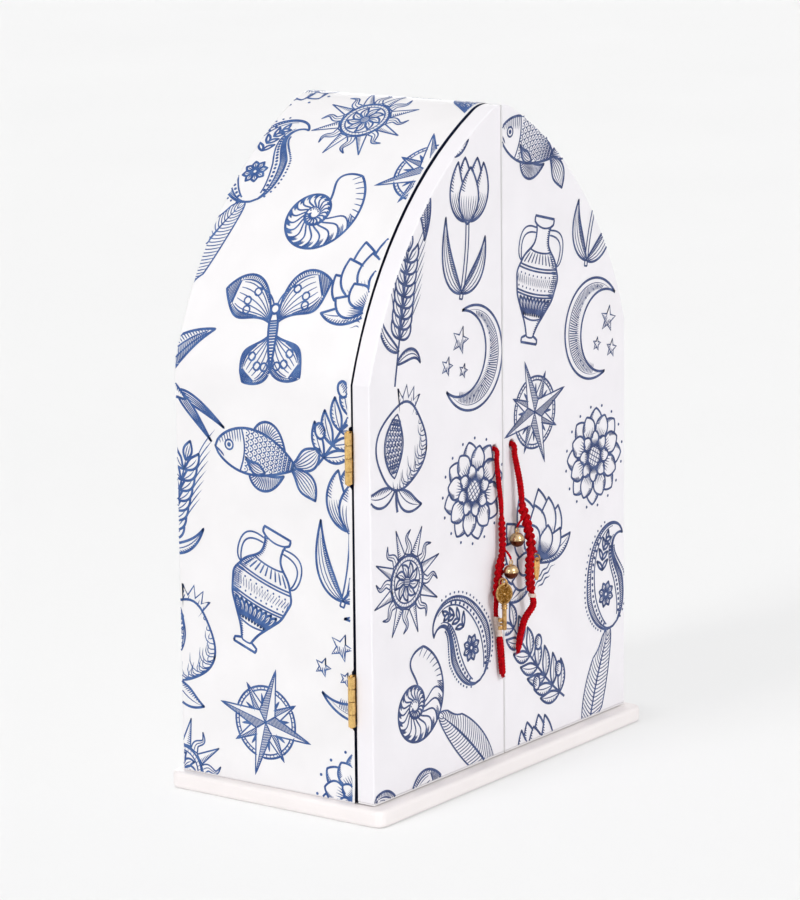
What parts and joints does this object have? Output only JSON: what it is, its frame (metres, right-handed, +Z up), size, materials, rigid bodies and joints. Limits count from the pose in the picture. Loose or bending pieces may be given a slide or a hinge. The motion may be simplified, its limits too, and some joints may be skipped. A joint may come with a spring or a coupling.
{
  "type": "arched miniature cabinet",
  "caption": "Small painted wooden cabinet with a pointed-arch front, a pair of overlay doors on brass butt hinges, a shelf inside and red cord pulls with charms, standing on a base plate.",
  "frame": {"origin": "on the ground under the middle of the base plate", "axes": "+Z up, -Y is the front with the doors, +X to the right seen from the front"},
  "size_m": [0.1848, 0.1059, 0.2655],
  "materials": {
    "white_wood": "satin white paint with a blue printed pattern",
    "brass": "polished yellow brass",
    "red_cord": "deep red twisted cord",
    "steel": "plated"
  },
  "bodies": {
    "case": {"base_plate": "white_wood", "back_panel": "white_wood", "shelf": "white_wood", "left_side_panel": "white_wood", "left_roof_panel": "white_wood", "left_magnet": "steel", "left_lower_hinge_case_leaf": "brass", "left_upper_hinge_case_leaf": "brass", "left_lower_hinge_pin": "brass", "left_upper_hinge_pin": "brass", "right_side_panel": "white_wood", "right_roof_panel": "white_wood", "right_magnet": "steel", "right_lower_hinge_case_leaf": "brass", "right_upper_hinge_case_leaf": "brass", "right_lower_hinge_pin": "brass", "right_upper_hinge_pin": "brass"},
    "left_door": {"left_door": "white_wood", "left_strike_disc": "steel", "left_lower_hinge_door_leaf": "brass", "left_upper_hinge_door_leaf": "brass", "left_cord": "red_cord", "left_stop_knot": "red_cord", "left_bell": "brass", "left_bell_pellet": "steel", "left_bell_thread": "red_cord", "key_charm": "brass", "key_ring": "brass"},
    "right_door": {"right_door": "white_wood", "right_strike_disc": "steel", "right_lower_hinge_door_leaf": "brass", "right_upper_hinge_door_leaf": "brass", "right_cord": "red_cord", "right_stop_knot": "red_cord", "right_bell": "brass", "right_bell_pellet": "steel", "right_bell_thread": "red_cord", "leaf_charm": "brass", "leaf_ring": "brass", "leaf_charm_thread": "red_cord"}
  },
  "joints": [
    {"name": "left_door_hinge", "type": "hinge", "parent": "case", "child": "left_door", "pos_m": [-0.0896, -0.03635, 0.09455], "axis": [0, 0, -1], "range_deg": [0, 195]},
    {"name": "right_door_hinge", "type": "hinge", "parent": "case", "child": "right_door", "pos_m": [0.0896, -0.03635, 0.09455], "axis": [0, 0, 1], "range_deg": [0, 195]}
  ]
}
